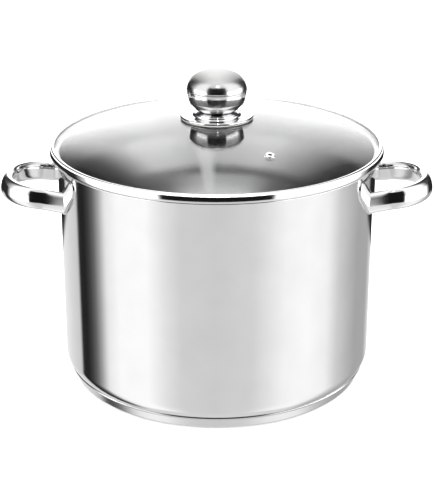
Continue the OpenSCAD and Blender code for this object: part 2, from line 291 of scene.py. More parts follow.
def noise(nodes, links, vector, scale, detail=3.0):
    """Soft noise from 0 to 1."""
    texture = nodes.new("ShaderNodeTexNoise")
    texture.inputs["Scale"].default_value = scale
    texture.inputs["Detail"].default_value = detail
    links.new(vector, texture.inputs["Vector"])
    return texture.outputs["Fac"]


def turned_lines(nodes, links):
    """Coordinates that change only with height and with distance from the axis, as lathe marks do."""
    place = nodes.new("ShaderNodeTexCoord")
    parts = nodes.new("ShaderNodeSeparateXYZ")
    links.new(place.outputs["Object"], parts.inputs["Vector"])
    x, y = (parts.outputs[k] for k in "XY")
    squares = [calc(nodes, links, "MULTIPLY", way, way) for way in (x, y)]
    total = calc(nodes, links, "ADD", *squares)
    radius = calc(nodes, links, "SQRT", total)
    joined = nodes.new("ShaderNodeCombineXYZ")
    links.new(radius, joined.inputs["X"])
    links.new(parts.outputs["Z"], joined.inputs["Z"])
    return joined.outputs["Vector"], place.outputs["Object"]


def bumped(nodes, links, shader, height, strength, depth):
    """Fine relief in the surface, depth metres deep."""
    bump = nodes.new("ShaderNodeBump")
    bump.inputs["Strength"].default_value = strength
    bump.inputs["Distance"].default_value = depth
    links.new(height, bump.inputs["Height"])
    links.new(bump.outputs["Normal"], shader.inputs["Normal"])


def shade(colour, amount):
    """A colour made darker or lighter, and never brighter than white."""
    return tuple(min(1, part * amount) for part in colour)


def tinted(nodes, links, shader, source, dark, light):
    """The base colour wanders between two close greys."""
    ramp = nodes.new("ShaderNodeValToRGB")
    ramp.color_ramp.elements[0].position = 0.3
    ramp.color_ramp.elements[0].color = (*dark, 1)
    ramp.color_ramp.elements[1].position = 0.7
    ramp.color_ramp.elements[1].color = (*light, 1)
    links.new(source, ramp.inputs["Fac"])
    links.new(ramp.outputs["Color"], shader.inputs["Base Color"])


def steel(name, base, roughness, spread_by, line_scale, line_depth):
    """Turned or polished steel: fine lathe lines, faint wipe marks and slightly uneven gloss."""
    material, nodes, links, shader = new_material(name, base, 1.0, roughness)
    lines, place = turned_lines(nodes, links)
    wipes = noise(nodes, links, place, 28.0)
    fine = noise(nodes, links, lines, line_scale, 2.0)
    tinted(nodes, links, shader, wipes, shade(base, 0.97), shade(base, 1.02))
    links.new(spread(nodes, links, wipes, roughness - spread_by, roughness + spread_by),
              shader.inputs["Roughness"])
    bumped(nodes, links, shader, fine, 0.25, line_depth)
    return material


def brushed_steel():
    """The pot's inside: brushed round and round, so that highlights draw out into upright streaks. Its base
    colour is a darker grey than the outside steel's, as painted shade for the inside of the pot.
    """
    # A darker grey than the outside steel: painted shade for the pot's inside, not a colour of the steel
    # itself.
    base = (0.56, 0.56, 0.56)
    material, nodes, links, shader = new_material("inner steel with painted shade", base, 1.0, 0.3)
    lines, place = turned_lines(nodes, links)
    fine = noise(nodes, links, lines, 1400.0, 2.0)
    wipes = noise(nodes, links, place, 22.0)
    tinted(nodes, links, shader, wipes, shade(base, 0.95), shade(base, 1.04))
    links.new(spread(nodes, links, wipes, 0.27, 0.33), shader.inputs["Roughness"])
    shader.inputs["Anisotropic"].default_value = 0.85
    around = nodes.new("ShaderNodeTangent")
    around.direction_type = "RADIAL"
    around.axis = "Z"
    links.new(around.outputs["Tangent"], shader.inputs["Tangent"])
    bumped(nodes, links, shader, fine, 0.2, 0.00001)
    return material


def crowned_steel(name, base, satin, polished, inner, outer):
    """Steel that is satin round the axis and polished beyond a radius, in metres."""
    material, nodes, links, shader = new_material(name, base, 1.0, satin)
    lines, place = turned_lines(nodes, links)
    parts = nodes.new("ShaderNodeSeparateXYZ")
    links.new(lines, parts.inputs["Vector"])
    outwards = smooth_step(nodes, links, parts.outputs["X"], inner, outer)
    wipes = noise(nodes, links, place, 60.0)
    gloss = spread(nodes, links, outwards, satin, polished)
    uneven = spread(nodes, links, wipes, -0.02, 0.02)
    links.new(calc(nodes, links, "ADD", gloss, uneven), shader.inputs["Roughness"])
    tinted(nodes, links, shader, wipes, shade(base, 0.97), shade(base, 1.03))
    bumped(nodes, links, shader, noise(nodes, links, lines, 1800.0, 2.0), 0.25, 0.00002)
    return material


def wire_chrome():
    """Bright plated wire with the faint ripple of drawn wire."""
    material, nodes, links, shader = new_material("rack wire", (0.52, 0.53, 0.54), 1.0, 0.16)
    place = nodes.new("ShaderNodeTexCoord").outputs["Object"]
    ripple = noise(nodes, links, place, 260.0)
    tinted(nodes, links, shader, ripple, (0.47, 0.48, 0.49), (0.56, 0.57, 0.58))
    links.new(spread(nodes, links, ripple, 0.10, 0.24), shader.inputs["Roughness"])
    bumped(nodes, links, shader, ripple, 0.2, 0.00006)
    return material


def cast_aluminium():
    """Bare aluminium with a coarse, dull grain."""
    material, nodes, links, shader = new_material("core aluminium", (0.60, 0.61, 0.62), 1.0, 0.5)
    place = nodes.new("ShaderNodeTexCoord").outputs["Object"]
    grain = noise(nodes, links, place, 420.0, 5.0)
    tinted(nodes, links, shader, grain, (0.54, 0.55, 0.56), (0.66, 0.67, 0.68))
    links.new(spread(nodes, links, grain, 0.42, 0.6), shader.inputs["Roughness"])
    bumped(nodes, links, shader, grain, 0.3, 0.0001)
    return material


def soft_silicone():
    """Translucent white silicone with a moulded, slightly dusty skin."""
    material, nodes, links, shader = new_material("silicone", (0.82, 0.82, 0.79), 0.0, 0.5)
    place = nodes.new("ShaderNodeTexCoord").outputs["Object"]
    grain = noise(nodes, links, place, 600.0, 4.0)
    tinted(nodes, links, shader, grain, (0.78, 0.78, 0.75), (0.85, 0.85, 0.82))
    links.new(spread(nodes, links, grain, 0.42, 0.58), shader.inputs["Roughness"])
    shader.inputs["Subsurface Weight"].default_value = 0.25
    shader.inputs["Subsurface Radius"].default_value = (0.003, 0.003, 0.003)
    bumped(nodes, links, shader, grain, 0.2, 0.00005)
    return material


def lid_glass_material():
    """Clear tempered glass, with a slight green tint and faint smears."""
    material, nodes, links, shader = new_material("lid glass", (0.975, 0.99, 0.985), 0.0, 0.0)
    shader.inputs["Transmission Weight"].default_value = 1.0
    shader.inputs["IOR"].default_value = 1.5
    place = nodes.new("ShaderNodeTexCoord").outputs["Object"]
    smears = noise(nodes, links, place, 18.0, 4.0)
    tinted(nodes, links, shader, smears, (0.965, 0.985, 0.978), (0.985, 0.995, 0.99))
    links.new(spread(nodes, links, smears, 0.0, 0.012), shader.inputs["Roughness"])
    return material


MATERIALS = {
    "polished_steel": steel("polished steel", (0.80, 0.80, 0.805), 0.085, 0.012, 900.0, 0.000012),
    "inner_steel_painted_shade": brushed_steel(),
    "base_steel": steel("base steel", (0.76, 0.76, 0.755), 0.20, 0.03, 1600.0, 0.00003),
    "knob_steel": crowned_steel("knob steel", (0.66, 0.66, 0.655), 0.60, 0.19, 0.021, 0.0285),
    "fastener_steel": steel("fastener steel", (0.66, 0.66, 0.66), 0.30, 0.05, 1500.0, 0.00004),
    "rack_wire": wire_chrome(),
    "core_aluminium": cast_aluminium(),
    "silicone": soft_silicone(),
    "lid_glass": lid_glass_material(),
}


# ---------------------------------------------------------------- pot

WALL = 0.8
BASE_TOP = 5.6
CORNER_R = 20.0
LIP_BEND = 3.0
PLATE_T = 1.6

lip_high = box_mm("pot_body")[1]
plate_low, plate_high = box_mm("handle_plate_right")
body_r = plate_high.x - PLATE_T
lip_r = lip_high.x
pot_top = lip_high.z


def pot_body():
    """Drawn shell: flat bottom, rounded corner, straight wall, and a flat lip with a softened edge."""
    corner = (body_r - CORNER_R, BASE_TOP + CORNER_R)
    bend = (body_r + LIP_BEND, pot_top - WALL - LIP_BEND)
    lip_edge = lip_r - WALL / 2
    outside = [(0, BASE_TOP), (60, BASE_TOP), (120, BASE_TOP)]
    outside += arc(corner, CORNER_R, -90, 0, 24)
    outside += arc(bend, LIP_BEND, 180, 90, 12)
    outside += [(lip_edge, pot_top - WALL)]
    top = moved_right(outside, -WALL)
    edge = arc((lip_edge, pot_top - WALL / 2), WALL / 2, -90, 90, 8)
    outline = supported(tidy_path(outside[:-1] + edge + top[::-1][1:]))
    obj = lathed("pot_body_shell", outline, 320)
    dressed(obj, "pot", "polished_steel", "pot_body")
    obj.data.materials.append(MATERIALS["inner_steel_painted_shade"])
    # Inward faces below the lip take the darker inside material, whose lowered base colour is painted shade
    # for the pot's inside.
    for face in obj.data.polygons:
        middle, out = face.center, Vector((face.center.x, face.center.y, 0))
        faces_in = face.normal.dot(out) < -0.3 * out.length or face.normal.z > 0.5
        if faces_in and out.length < (body_r + 1) * MM and middle.z < (pot_top - 1) * MM:
            face.material_index = 1
    return obj


def base_cap():
    """Steel cap round the core, with a softened foot and a rolled upper edge."""
    foot_r = 152.0
    fillet = 3.0
    cap_t = 0.8
    gap = 0.15
    wrap = CORNER_R + gap + cap_t
    foot_angle, seam_angle = -48, -38.3
    corner = (body_r - CORNER_R, BASE_TOP + CORNER_R)
    outside = [(0, 0), (70, 0), (130, 0)]
    outside += arc((foot_r - fillet, fillet), fillet, -90, -25, 12)
    outside += arc(corner, wrap, foot_angle, seam_angle, 8)
    inside = moved_right(outside, -cap_t)
    rim = [((outside[-1][0] + inside[-1][0]) / 2 + 0.12, (outside[-1][1] + inside[-1][1]) / 2 + 0.2)]
    outline = supported(tidy_path(outside + rim + inside[::-1]))
    obj = lathed("base_cap_shell", outline, 320)
    return dressed(obj, "pot", "base_steel", "base_cap")


# ---------------------------------------------------------------- side handles

HANDLE_SPAN = 89.0
HANDLE_REACH = 60.5
HANDLE_BEND = 40.0
HANDLE_TIP = math.radians(6)
HANDLE_Z = pot_top - 40.5
HANDLE_HALF_T = 6.0
HANDLE_HALF_H = 11.0


def handle_section(sides=64, power=2.35, roll=math.radians(8)):
    """The tube's section, between an oval and a rectangle, rolled so that its outer face looks up."""
    points = []
    for k in range(sides):
        a = 2 * math.pi * k / sides
        c, s = math.cos(a), math.sin(a)
        x = HANDLE_HALF_T * math.copysign(abs(c) ** (2 / power), c)
        y = HANDLE_HALF_H * math.copysign(abs(s) ** (2 / power), s)
        points.append((x * math.cos(roll) - y * math.sin(roll), x * math.sin(roll) + y * math.cos(roll)))
    return points


SEAT_SINK = 0.15
SEAT_R = body_r + PLATE_T - SEAT_SINK
LEG_STEPS = 14


def leg_splay(share):
    """How far a leg bends outwards, at a share of its length from the seat: by a slope that eases in."""
    reach, slope, ease = 17.0, 0.445, 2.5
    off = max(0.0, reach * (1 - share))
    return slope * off * off / (off + ease)


def handle_path():
    """The loop's centre line in its own plane, from one leg's foot to the other's."""
    loop_x = body_r + HANDLE_REACH - HANDLE_HALF_T
    bend_x = loop_x - HANDLE_BEND
    half = HANDLE_SPAN / 2
    seat_x = math.sqrt(SEAT_R ** 2 - half ** 2)
    leg = []
    for k in range(LEG_STEPS):
        share = k / LEG_STEPS
        leg.append((seat_x + (bend_x - seat_x) * share, -half - leg_splay(share)))
    first = arc((bend_x, -half + HANDLE_BEND), HANDLE_BEND, -90, 0, 28)
    straight = [(loop_x, y) for y in (-3.0, 0.0, 3.0)]
    near = leg + first + straight
    return near[:-1] + [(x, -y) for x, y in near[::-1][2:]]


def seat_leg(rings):
    """Shears a leg's rings, the foot's first, so that the foot follows the weld plate's curve."""
    shifts = [math.sqrt(SEAT_R ** 2 - v.co.y ** 2) - v.co.x for v in rings[0]]
    for k, ring in enumerate(rings):
        for v, shift in zip(ring, shifts):
            v.co.x += shift * (1 - k / len(rings))


def side_handle(side):
    """A loop of tube, its feet shaped to the weld plate; side is 1 on the right and -1 on the left."""
    bm = bmesh.new()
    rings = sweep(bm, [(x, y, 0) for x, y in handle_path()], (0, 0, 1), handle_section())
    tip = Matrix.Translation((body_r, 0, HANDLE_Z)) @ Matrix.Rotation(-HANDLE_TIP, 4, "Y")
    bmesh.ops.transform(bm, matrix=tip @ Matrix.Translation((-body_r, 0, 0)), verts=bm.verts)
    seat_leg(rings[:LEG_STEPS])
    seat_leg(rings[:-LEG_STEPS - 1:-1])
    mirror_left(bm, side)
    word = "right" if side > 0 else "left"
    obj = finish_mesh("handle_loop_" + word, bm, 50)
    return dressed(obj, "pot", "polished_steel", "side_handle_" + word)


def plate_side(inset):
    """One side of a plate's outline, from its foot up, pulled in by inset."""
    low, top = plate_low.z, plate_high.z
    half = 84.0
    foot, bend, top_bend = 50.0, 12.0, 6.0
    points = arc((foot, low + bend), bend - inset, -90, -45, 8)
    points += arc((half - bend, low + half - foot), bend - inset, -45, 0, 8)
    points += arc((half - top_bend, top - top_bend), top_bend - inset, 0, 90, 8)
    return supported(tidy_path(points), 0.6, 6.0)


def plate_ring(bm, inset, height, columns):
    """A loop round the plate at a height above the pot's wall."""
    right = plate_side(inset)
    across = [1 - 2 * k / columns for k in range(1, columns)]
    top = [(u * right[-1][0], right[-1][1]) for u in across]
    left = [(-y, z) for y, z in right[::-1]]
    bottom = [(-u * right[0][0], right[0][1]) for u in across]
    radius = body_r + height
    verts = []
    for y, z in right + top + left + bottom:
        a = y / body_r
        verts.append(bm.verts.new((radius * math.cos(a), radius * math.sin(a), z)))
    return verts


def handle_plate(side):
    """A curved weld plate with softened edges."""
    bm = bmesh.new()
    columns = 56
    edge = 0.7
    loops = [plate_ring(bm, 0, 0.02, columns), plate_ring(bm, 0, PLATE_T - edge, columns)]
    for angle in (30, 60, 90):
        a = math.radians(angle)
        loops.append(plate_ring(bm, edge * (1 - math.cos(a)), PLATE_T - edge * (1 - math.sin(a)), columns))
    loops.append(plate_ring(bm, edge + 0.5, PLATE_T, columns))
    for one, two in zip(loops, loops[1:]):
        for k in range(len(one)):
            n = (k + 1) % len(one)
            bm.faces.new((one[k], one[n], two[n], two[k]))
    for loop, radius in ((loops[-1], body_r + PLATE_T), (loops[0], body_r + 0.02)):
        plate_face(bm, loop, radius, columns)
    mirror_left(bm, side)
    word = "right" if side > 0 else "left"
    obj = finish_mesh("weld_plate_" + word, bm)
    return dressed(obj, "pot", "polished_steel", "handle_plate_" + word)


def plate_face(bm, loop, radius, columns):
    """Fills a loop with rows of quads that follow the wall's curve."""
    rows = (len(loop) - 2 * (columns - 1)) // 2
    right = loop[:rows]
    left = loop[rows + columns - 1:rows + columns - 1 + rows][::-1]
    top = loop[rows:rows + columns - 1]
    bottom = loop[rows * 2 + columns - 1:]
    grid = []
    for i in range(rows):
        if i == 0:
            middle = bottom[::-1]
        elif i == rows - 1:
            middle = top
        else:
            middle = []
            reach = math.atan2(right[i].co.y, right[i].co.x)
            for k in range(1, columns):
                a = reach * (1 - 2 * k / columns)
                middle.append(bm.verts.new((radius * math.cos(a), radius * math.sin(a), right[i].co.z)))
        grid.append([right[i]] + middle + [left[i]])
    for one, two in zip(grid, grid[1:]):
        for k in range(columns):
            bm.faces.new((one[k], one[k + 1], two[k + 1], two[k]))


# ---------------------------------------------------------------- lid

rim_high = box_mm("lid_rim")[1]
cap_high = box_mm("knob_cap")[1]
LID_GAP = 0.3
SPIGOT_GAP = 0.8
RIM_T = 0.7
rim_r = rim_high.x
RIM_Z = pot_top + LID_GAP
RIM_TOP = rim_high.z
GLASS_T = 4.0
GLASS_HOLE = 4.0
VENT_HOLE = 2.95
glass_box_high = box_mm("lid_glass")[1]
glass_r = glass_box_high.x
glass_top = glass_box_high.z
GLASS_BELOW_RIM = 2.7
dome_sag = glass_top - (RIM_TOP - GLASS_BELOW_RIM)
dome_r = (glass_r ** 2 + dome_sag ** 2) / (2 * dome_sag)
dome_c = glass_top - dome_r


def dome_height(radius, sphere=None):
    """Height of the dome's outer face, or of another sphere about the same centre."""
    return dome_c + math.sqrt((sphere or dome_r) ** 2 - radius ** 2)


def vent_place():
    """The steam vent's own frame: its origin on the dome, +Z outwards."""
    low, high = box_mm("vent_eyelet")
    out = ((low + high) / 2 - Vector((0, 0, dome_c))).normalized()
    turn = out.to_track_quat("Z", "Y").to_matrix().to_4x4()
    return Matrix.Translation(Vector((0, 0, dome_c)) + out * dome_r) @ turn


def lid_glass():
    """Domed glass with a ground edge, a centre hole and a vent hole."""
    steps = 48
    reach = glass_r - 0.6 - GLASS_HOLE
    radii = [GLASS_HOLE + reach * k / steps for k in range(steps + 1)]
    top = [(r, dome_height(r)) for r in radii]
    under = [(r, dome_height(r, dome_r - GLASS_T)) for r in radii]
    low = under[-1][1]
    high = top[-1][1]
    edge = [(glass_r - 0.15, high - 0.55), (glass_r, high - 1.2)]
    edge += [(glass_r, low + 1.0), (glass_r - 0.15, low + 0.4)]
    outline = supported(top + edge + under[::-1], 0.25, 40)
    obj = lathed("lid_glass_dome", outline, 256)
    above, below = GLASS_T, -2 * GLASS_T - 1
    cut = [(0, below), (VENT_HOLE, below), (VENT_HOLE, above), (0, above)]
    cutter = lathed("vent_cutter", cut, 64, vent_place())
    hole_cut = obj.modifiers.new("vent", "BOOLEAN")
    hole_cut.operation = "DIFFERENCE"
    hole_cut.solver = "EXACT"
    hole_cut.object = cutter
    depsgraph = bpy.context.evaluated_depsgraph_get()
    cut_mesh = bpy.data.meshes.new_from_object(obj.evaluated_get(depsgraph))
    obj.modifiers.clear()
    obj.data = cut_mesh
    bpy.data.objects.remove(cutter)
    cut_mesh.materials.clear()
    cut_mesh.shade_smooth()
    cut_mesh.set_sharp_from_angle(angle=math.radians(30))
    return dressed(obj, "lid", "lid_glass", "lid_glass")


def lid_rim():
    """Rolled rim: a top leaf on the glass, a band that leans in a little, and the locating flange."""
    spigot = body_r - WALL - SPIGOT_GAP
    leaf = [(rim_r - 4.6, RIM_TOP - 0.55), (rim_r - 3.4, RIM_TOP - 0.1)]
    band = curve((rim_r - 2.6, RIM_TOP), (rim_r - 1.2, RIM_TOP), (rim_r - 0.05, RIM_TOP - 3.0),
                 (rim_r, RIM_Z + 1.9), 20)
    low_bend, step_bend, spigot_h = 1.5, 2, 5
    low = arc((rim_r - low_bend, RIM_Z + low_bend), low_bend, 0, -90, 10)
    step = arc((spigot + step_bend, RIM_Z - step_bend), step_bend, 90, 180, 8)
    outline = sheet_outline(leaf + band + low + step + [(spigot, RIM_Z - spigot_h)], RIM_T)
    obj = lathed("lid_rim_band", outline, 320)
    return dressed(obj, "lid", "polished_steel", "lid_rim")


def vent_eyelet():
    """Steel eyelet with a rounded head outside and a rolled tail inside."""
    bore, tube, head = 2.1, 2.9, 4.7
    tail = -GLASS_T - 1.3
    outline = [(bore, 0.55)] + arc((bore + 0.35, 0.5), 0.35, 180, 90, 5)
    outline += arc((head - 0.8, 0.05), 0.8, 90, 0, 10) + [(tube, 0.05), (tube, tail + 0.6)]
    outline += [(tube + 0.8, tail + 0.55), (tube + 1, tail + 0.3), (tube + 0.8, tail), (bore + 0.2, tail)]
    outline += [(bore, tail + 0.2)]
    obj = lathed("vent_eyelet_ring", supported(tidy_path(outline), 0.1), 64, vent_place())
    return dressed(obj, "lid", "polished_steel", "vent_eyelet")


# ---------------------------------------------------------------- knob

KNOB_R = 30.0
KNOB_T = 0.8
SCREW_HOLE = 3.3
SEAM_H = 28.0
NECK_H = 5.5
seam_z = glass_top + SEAM_H
neck_z = glass_top + NECK_H
NECK_R = 15.8
COLLAR_R = 24.4
flange_r = box_mm("knob_flange")[1].x


def knob_cap():
    """Upper shell of the ball, rolled over the lower one at the seam."""
    cap_h = cap_high.z - seam_z
    dome = curve((0, seam_z + cap_h), (KNOB_R * 0.73, seam_z + cap_h),
                 (KNOB_R + 0.2, seam_z + cap_h / 2), (KNOB_R + 0.2, seam_z + 1.1), 40)
    roll = arc((KNOB_R - 0.1, seam_z + 0.35), 0.9, 25, -160, 12)
    inside = curve((KNOB_R - 1.1, seam_z + 1.0), (KNOB_R - 1.0, seam_z + cap_h / 2),
                   (KNOB_R * 0.71, seam_z + cap_h - KNOB_T), (0, seam_z + cap_h - KNOB_T), 24)
    obj = lathed("knob_cap_shell", tidy_path(dome + roll + inside), 160)
    return dressed(obj, "lid", "knob_steel", "knob_cap")


def knob_cup():
    """Lower shell of the ball, narrowing to the neck."""
    bowl = curve((NECK_R, neck_z + 0.1), (KNOB_R * 0.73, neck_z + 1), (KNOB_R, neck_z + 6.5),
                 (KNOB_R, seam_z - 0.7), 40)
    outline = sheet_outline([(SCREW_HOLE, neck_z + 0.1)] + bowl, -KNOB_T)
    obj = lathed("knob_cup_shell", outline, 160)
    return dressed(obj, "lid", "polished_steel", "knob_cup")


def knob_flange():
    """Round flange under the knob: a raised collar, a shallow dish and a rolled edge."""
    edge_r = 1.3
    glass_drop = flange_r ** 2 / (2 * dome_r)
    low = glass_top - glass_drop + 0.9
    collar = curve((NECK_R + 1, neck_z), (COLLAR_R - 1, neck_z), (COLLAR_R, neck_z - 2),
                   (COLLAR_R, low + 2.8), 20)
    top = [(SCREW_HOLE, neck_z)] + collar + [(COLLAR_R + 0.6, low + 2.1), (COLLAR_R + 2, low + 1.8)]
    top += arc((flange_r - edge_r, low + edge_r), edge_r, 90, -60, 14)
    obj = lathed("knob_flange_dish", sheet_outline(top, KNOB_T), 192)
    return dressed(obj, "lid", "polished_steel", "knob_flange")


# ---------------------------------------------------------------- jar rack

WIRE_R = 1.6
RING_R = 2.0
WELD = 0.3
FOOT_GAP = 0.3
FOOT_H = 12.0
DIVIDER_H = 60.0
RING_DROP = 12.0
HINGE_RISE = 5.0
INNER_RING_R = 22.0
SPOKE_FROM = 20.0
floor_z = BASE_TOP + WALL
spoke_z = floor_z + FOOT_GAP + FOOT_H
grid_z = spoke_z + 2 * WIRE_R - WELD
divider_z = grid_z + DIVIDER_H
ring_z = divider_z - RING_DROP
top_ring_r = box_mm("rack_top_ring")[1].x - RING_R
center_ring_r = box_mm("rack_center_ring")[1].x - WIRE_R
post_in = center_ring_r + 2 * WIRE_R - WELD
post_out = top_ring_r - RING_R - WIRE_R + WELD
HINGE_X = top_ring_r - 1.5
HINGE_Z = ring_z + RING_R + HINGE_RISE
DIVIDER_DIRS = [30 + 60 * i for i in range(6)]


def turned_about_z(degrees):
    """A turn about the pot's axis."""
    return Matrix.Rotation(math.radians(degrees), 4, "Z")


def rack_piece(name, bm, body, *nodes):
    """A finished piece of the rack, in its plated wire."""
    obj = finish_mesh(name, bm, 60)
    return dressed(obj, body, "rack_wire", *nodes)


def rack_floor():
    """The floor's rings, the spokes under them and the feet."""
    rings = bmesh.new()
    step = (post_out - post_in) / 3
    for radius in (INNER_RING_R, post_in, post_in + step, post_in + 2 * step):
        wire(rings, circle_path(radius, grid_z), (0, 0, 1), WIRE_R, True)
    wire(rings, circle_path(post_out, grid_z), (0, 0, 1), RING_R, True)
    rack_piece("floor_rings", rings, "jar_rack", "rack_grid_rings")
    spokes, feet = bmesh.new(), bmesh.new()
    foot_r, bend = 128.0, 6.0
    low = floor_z + FOOT_GAP + RING_R + bend
    top = spoke_z - WIRE_R + WELD
    foot = [(foot_r + bend, 0, top)]
    foot += [(x, 0, z) for x, z in arc((foot_r, low), bend, 0, -180, 20)]
    foot += [(foot_r - bend, 0, top)]
    for direction in DIVIDER_DIRS:
        turn = turned_about_z(direction)
        side = turn @ Vector((0, 1, 0))
        wire(spokes, [turn @ Vector((x, 0, spoke_z)) for x in (SPOKE_FROM, 80, post_out + 1)], side, WIRE_R)
        wire(feet, [turn @ Vector(p) for p in foot], side, RING_R)
    rack_piece("floor_spokes", spokes, "jar_rack", "rack_grid_spokes")
    rack_piece("floor_feet", feet, "jar_rack", "rack_feet")


def rack_dividers():
    """Six wire loops that stand between neighbouring jars."""
    bend = 9.0
    foot_z = grid_z + WIRE_R - WELD
    shoulder = divider_z - bend
    loop = [(post_in, 0, foot_z), (post_in, 0, (foot_z + shoulder) / 2)]
    loop += [(x, 0, z) for x, z in arc((post_in + bend, shoulder), bend, 180, 90, 12)]
    loop += [(x, 0, z) for x, z in arc((post_out - bend, shoulder), bend, 90, 0, 12)]
    loop += [(post_out, 0, (foot_z + shoulder) / 2), (post_out, 0, foot_z + 0.4)]
    for i, direction in enumerate(DIVIDER_DIRS, 1):
        bm = bmesh.new()
        turn = turned_about_z(direction)
        wire(bm, [turn @ Vector(p) for p in loop], turn @ Vector((0, 1, 0)), WIRE_R)
        rack_piece("divider_loop_%d" % i, bm, "jar_rack", "rack_divider_%d" % i)


def rack_rings():
    """The ring round the middle jar and the ring round all the jars."""
    for name, node, radius, thick in (("center_ring", "rack_center_ring", center_ring_r, WIRE_R),
                                      ("top_ring", "rack_top_ring", top_ring_r, RING_R)):
        bm = bmesh.new()
        wire(bm, circle_path(radius, ring_z, 256), (0, 0, 1), thick, True)
        rack_piece(name, bm, "jar_rack", node)


def hinge_bar(side):
    """A staple on the top ring that a bail turns on."""
    bm = bmesh.new()
    half = 33.0
    leg = half - RING_R
    wire(bm, [(HINGE_X, y, HINGE_Z) for y in (-half, 0, half)], (0, 0, 1), RING_R)
    for end in (-1, 1):
        foot = Vector((HINGE_X - 2, end * leg, ring_z + RING_R - WELD))
        head = Vector((HINGE_X, end * leg, HINGE_Z))
        wire(bm, [head, (head + foot) / 2, foot], (0, 1, 0), RING_R)
    mirror_left(bm, side)
    word = "right" if side > 0 else "left"
    rack_piece("hinge_staple_" + word, bm, "jar_rack", "rack_hinge_bar_" + word)


def bail(side):
    """A folding bail with an eye at the end of each leg, laid down on the centre ring."""
    bm = bmesh.new()
    half, bend, length = 25.0, 14.0, 100.0
    eye_r, eye_w = 4.0, 5.0
    grip_x = HINGE_X - length
    corner_x = grip_x + bend
    near = [(HINGE_X - 3, -half), ((HINGE_X + corner_x) / 2, -half)]
    near += arc((corner_x, -half + bend), bend, -90, -180, 16)
    path = near + [(x, -y) for x, y in near[::-1]]
    wire(bm, [(x, y, HINGE_Z) for x, y in path], (0, 0, 1), RING_R)
    bore = RING_R + 0.06
    eye = [(bore, -eye_w / 2), (eye_r - 0.4, -eye_w / 2), (eye_r, -eye_w / 2 + 0.4),
           (eye_r, eye_w / 2 - 0.4), (eye_r - 0.4, eye_w / 2), (bore, eye_w / 2)]
    for end in (-1, 1):
        place = Matrix.Translation((HINGE_X, end * half, HINGE_Z)) @ Matrix.Rotation(math.pi / 2, 4, "X")
        lathe(bm, supported(eye + eye[:1], 0.1)[:-1], 48, place)
    drop = HINGE_Z - ring_z - WIRE_R - RING_R - 0.3
    rest = math.asin(drop / (HINGE_X - center_ring_r))
    hinge = Vector((HINGE_X, 0, HINGE_Z))
    lay = Matrix.Translation(hinge) @ Matrix.Rotation(-rest, 4, "Y") @ Matrix.Translation(-hinge)
    bmesh.ops.transform(bm, matrix=lay, verts=bm.verts)
    mirror_left(bm, side)
    word = "right" if side > 0 else "left"
    rack_piece("bail_" + word, bm, word + "_bail", "rack_bail_" + word)


# ---------------------------------------------------------------- the other CAD nodes

def dress_cad_nodes():
    """Every node that keeps its CAD mesh takes a material of the kind its record slot names."""
    for name, material in (("base_core", "core_aluminium"), ("lid_rim_liner", "silicone"),
                           ("vent_washer", "fastener_steel"), ("knob_insert", "fastener_steel"),
                           ("knob_screw", "fastener_steel"), ("knob_lock_washer", "fastener_steel"),
                           ("knob_washer", "fastener_steel"), ("knob_bush", "silicone"),
                           ("knob_seal_ring", "silicone")):
        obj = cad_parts[name]
        obj.data.materials.clear()
        obj.data.materials.append(MATERIALS[material])


# ---------------------------------------------------------------- studio

def make_camera():
    """A long lens that looks down at a point on the pot's axis; its lengths are metres."""
    distance, elevation = 1.45, math.radians(21.76)
    data = bpy.data.cameras.new("camera")
    data.sensor_fit = "VERTICAL"
    data.sensor_height = 36
    data.lens = 100.73
    data.shift_x = 0.0014
    camera = bpy.data.objects.new("camera", data)
    scene.collection.objects.link(camera)
    aim = Vector((0, 0, 0.1302))
    camera.location = aim + distance * Vector((0, -math.cos(elevation), math.sin(elevation)))
    camera.rotation_euler = (aim - camera.location).to_track_quat("-Z", "Y").to_euler()
    scene.camera = camera


# The studio's light, in bands of height. A band is a ring of (direction, brightness), its directions
# in degrees from the camera's side towards the right.
UNDERNEATH = [(-180, 0.84), (-60, 0.80), (60, 0.80), (180, 0.84)]
PAPER = [
    (-180, 0.98), (-150, 0.90), (-124, 0.72), (-121, 0.02), (-113, 0.02), (-107, 0.06), (-101, 0.16),
    (-95, 0.45), (-88, 1.00), (-76, 1.20), (-52, 1.22), (-38, 0.95), (-26, 0.78), (0, 0.75), (26, 0.80),
    (38, 0.95), (51, 1.12), (70, 1.20), (88, 1.10), (101, 0.75), (114, 0.58), (126, 0.46), (148, 0.45),
    (163, 0.85), (180, 0.98),
]
PAPER_EDGE = ([(-180, 0.02), (-142, 0.02), (-139, 0.80)] + PAPER[2:-3]
              + [(142, 0.45), (146, 0.02), (180, 0.02)])
HORIZON_LOW = [
    (-180, 0.02), (-107, 0.03), (-97, 0.80), (-88, 4.20), (-46, 4.40), (-39, 1.50), (-37, 0.01),
    (37, 0.01), (39, 1.50), (46, 4.40), (98, 4.20), (112, 0.80), (122, 0.03), (180, 0.02),
]
HORIZON = ([(-180, 1.70), (-160, 1.50), (-152, 0.02)] + HORIZON_LOW[1:-1]
           + [(152, 0.02), (160, 1.50), (180, 1.70)])
LAMP_LIGHT = 9.0
DIFFUSE_LIGHT = 3.0
BACKDROP_LIGHT = 1.0


def ring_of(left, strip, right, front=0.01):
    """A band's light: the rear's left part with the upright strip in it, the two sides, and the rear's
    right part. front is the light on the camera's side."""
    lit = [(-179.4, left[0][1]), (-179.0, strip), (-177.0, strip), (-176.4, left[0][1])]
    sides = [(-118, 0.10), (-100, 0.60), (-88, 1.30), (-44, 1.40), (-39, max(0.9, front)), (-37, front),
             (37, front), (39, max(0.9, front)), (44, 1.40), (98, 1.30), (116, 0.10)]
    return left[:1] + lit + left[1:] + sides + right


